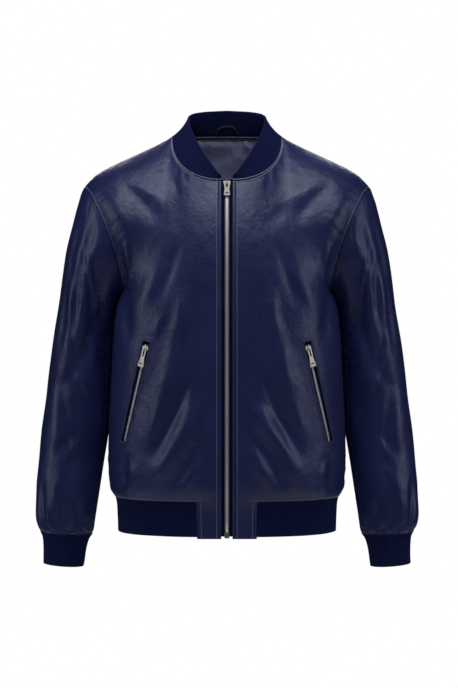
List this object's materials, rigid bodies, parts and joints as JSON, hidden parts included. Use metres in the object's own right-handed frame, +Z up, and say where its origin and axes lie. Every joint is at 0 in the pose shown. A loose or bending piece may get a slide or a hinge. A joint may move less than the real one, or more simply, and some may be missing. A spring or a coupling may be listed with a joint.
{
  "type": "bomber jacket",
  "caption": "Zip-front bomber jacket in smooth dark navy leather with rib-knit collar, cuffs and hem band, hollow and filled out as if worn.",
  "frame": {"origin": "the middle of the neck, level with the points where the shoulder seams meet the collar, where the wearer's shoulders hold the jacket up", "axes": "+Z up along the wearer, -Y the front of the jacket, +X the wearer's left"},
  "size_m": [0.649, 0.2831, 0.7816],
  "materials": {
    "leather": "smooth, softly glossy, fine grain",
    "rib_knit": "matt rib knit",
    "lining": "satin",
    "zip_tape": "woven tape",
    "nickel": "polished nickel"
  },
  "bodies": {
    "jacket": {"front_left": "leather", "front_right": "leather", "back": "leather", "sleeve_left": "leather", "sleeve_right": "leather", "hem_block_left": "leather", "hem_block_right": "leather", "hang_loop": "leather", "collar": "rib_knit", "cuff_left": "rib_knit", "cuff_right": "rib_knit", "hem_band": "rib_knit", "lining_back": "lining", "zip_front_tape_left": "zip_tape", "zip_front_tape_right": "zip_tape", "zip_pocket_left_tape_front": "zip_tape", "zip_pocket_left_tape_side": "zip_tape", "zip_pocket_right_tape_front": "zip_tape", "zip_pocket_right_tape_side": "zip_tape", "zip_front_chain": "nickel", "zip_slider_front": "nickel", "zip_bottom_box": "nickel", "zip_pocket_left_chain": "nickel", "zip_slider_pocket_left": "nickel", "zip_pocket_right_chain": "nickel", "zip_slider_pocket_right": "nickel"},
    "front_pull": {"zip_pull_front": "nickel"},
    "pocket_pull_left": {"zip_pull_pocket_left": "nickel"},
    "pocket_pull_right": {"zip_pull_pocket_right": "nickel"}
  },
  "joints": [
    {"name": "front_pull_swing", "type": "hinge", "parent": "jacket", "child": "front_pull", "pos_m": [0, -0.0945, -0.08796], "axis": [-1, 0, 0], "range_deg": [0, 165]},
    {"name": "pocket_pull_left_swing", "type": "hinge", "parent": "jacket", "child": "pocket_pull_left", "pos_m": [0.13511, -0.1204, -0.36208], "axis": [-0.8103, -0.5306, -0.2489], "range_deg": [0, 165]},
    {"name": "pocket_pull_right_swing", "type": "hinge", "parent": "jacket", "child": "pocket_pull_right", "pos_m": [-0.13511, -0.1204, -0.36208], "axis": [-0.8103, 0.5306, 0.2489], "range_deg": [0, 165]}
  ]
}
